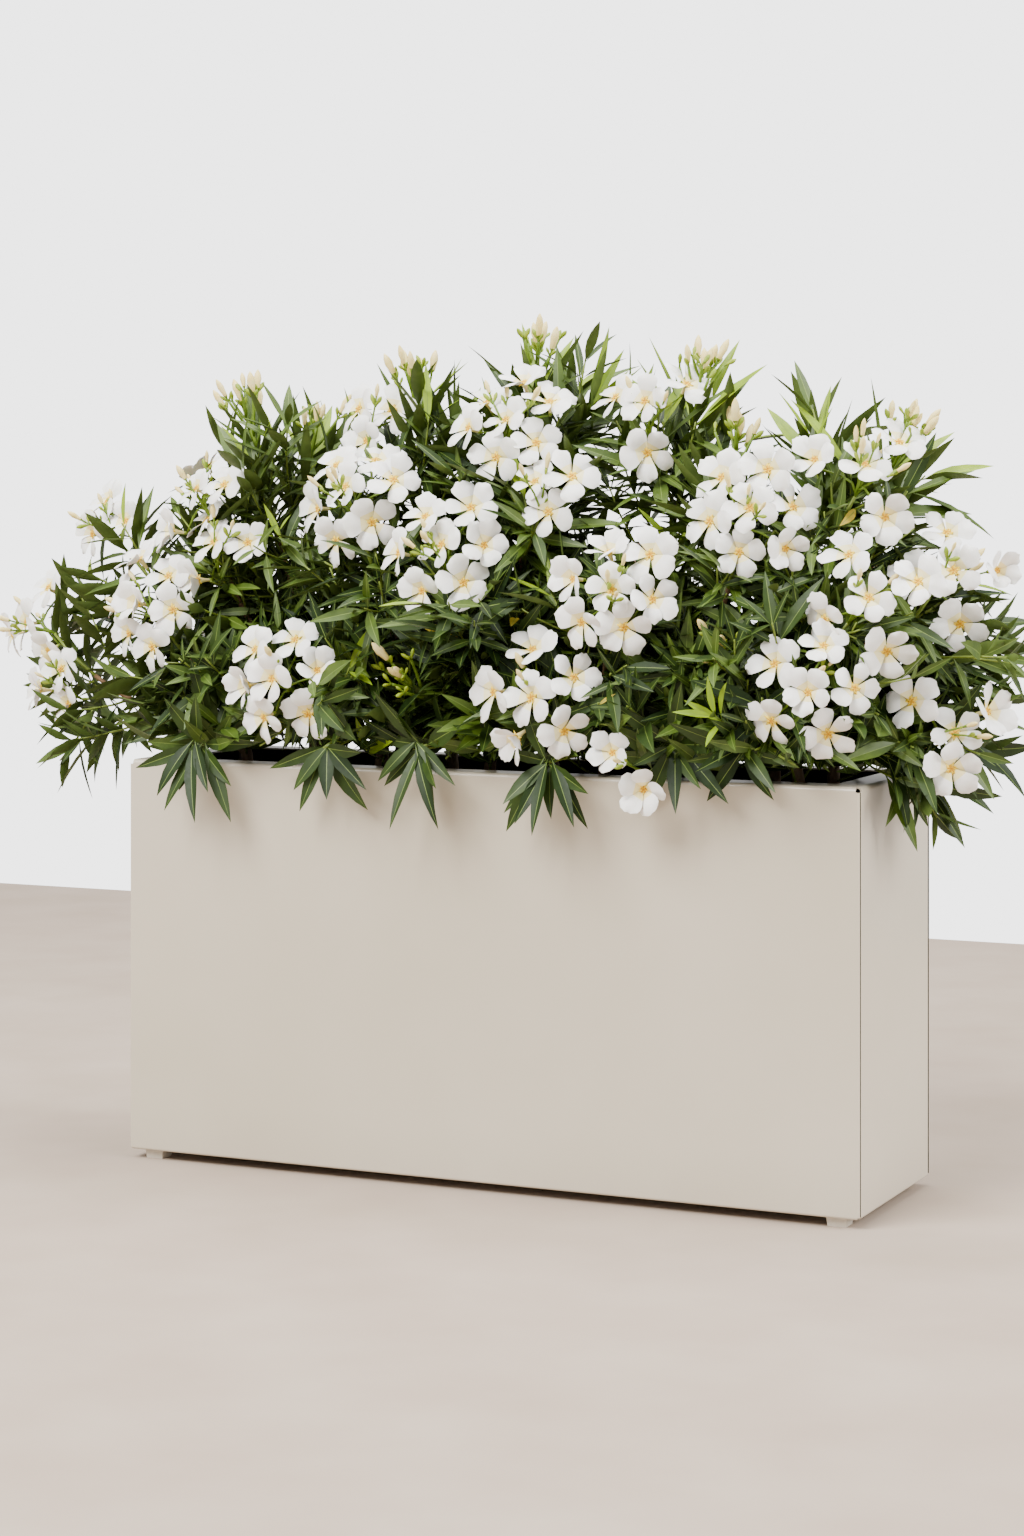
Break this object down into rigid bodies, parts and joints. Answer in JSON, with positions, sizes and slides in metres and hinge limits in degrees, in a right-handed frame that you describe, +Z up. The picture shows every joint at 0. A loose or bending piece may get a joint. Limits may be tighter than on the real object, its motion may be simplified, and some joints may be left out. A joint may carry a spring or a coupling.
{
  "type": "potted oleander",
  "caption": "White-flowered oleander clump with narrow evergreen leaves, growing in a long rectangular sheet-metal trough planter on small feet.",
  "frame": {"origin": "bottom centre of the whole plant and planter's box, on the ground", "axes": "+Z up, +X along the trough, +Y from the front to the back; the picture's side is towards -Y and +X"},
  "size_m": [1.4652, 0.632, 1.0976],
  "materials": {
    "paint": "satin",
    "foot": "matte",
    "soil": "matte",
    "bark": "matte",
    "foliage": "satin"
  },
  "bodies": {
    "root": {"planter_front": "paint", "planter_back": "paint", "planter_left": "paint", "planter_right": "paint", "planter_base": "paint", "foot_front_left": "foot", "foot_front_right": "foot", "foot_back_left": "foot", "foot_back_right": "foot", "soil": "soil", "stem_far_left": "bark", "foliage_far_left": "foliage", "bough_far_left_low": "bark", "foliage_far_left_low": "foliage", "foliage_front_left": "foliage", "stem_top_left": "bark", "foliage_top_left": "foliage", "bough_left_shoulder": "bark", "foliage_left_shoulder": "foliage", "bough_left_edge": "bark", "foliage_left_edge": "foliage", "stem_upper_left": "bark", "foliage_upper_left": "foliage", "foliage_low_left": "foliage", "stem_top_mid_left": "bark", "foliage_top_mid_left": "foliage", "bough_back_mid_left": "bark", "foliage_back_mid_left": "foliage", "stem_upper_middle": "bark", "foliage_upper_middle": "foliage", "foliage_centre_left": "foliage", "foliage_front_middle": "foliage", "stem_top_middle": "bark", "foliage_top_middle": "foliage", "stem_centre_right": "bark", "foliage_centre_right": "foliage", "foliage_low_middle": "foliage", "stem_top_mid_right": "bark", "foliage_top_mid_right": "foliage", "bough_back_mid_right": "bark", "foliage_back_mid_right": "foliage", "stem_right_shoulder": "bark", "foliage_right_shoulder": "foliage", "foliage_front_right": "foliage", "bough_low_right": "bark", "foliage_low_right": "foliage", "stem_top_right": "bark", "foliage_top_right": "foliage", "bough_high_right": "bark", "foliage_high_right": "foliage", "stem_right": "bark", "foliage_right": "foliage", "stem_far_right": "bark", "foliage_far_right": "foliage", "foliage_far_right_low": "foliage", "stem_back_left": "bark", "foliage_back_left": "foliage", "stem_back_right": "bark", "foliage_back_right": "foliage"}
  },
  "joints": []
}
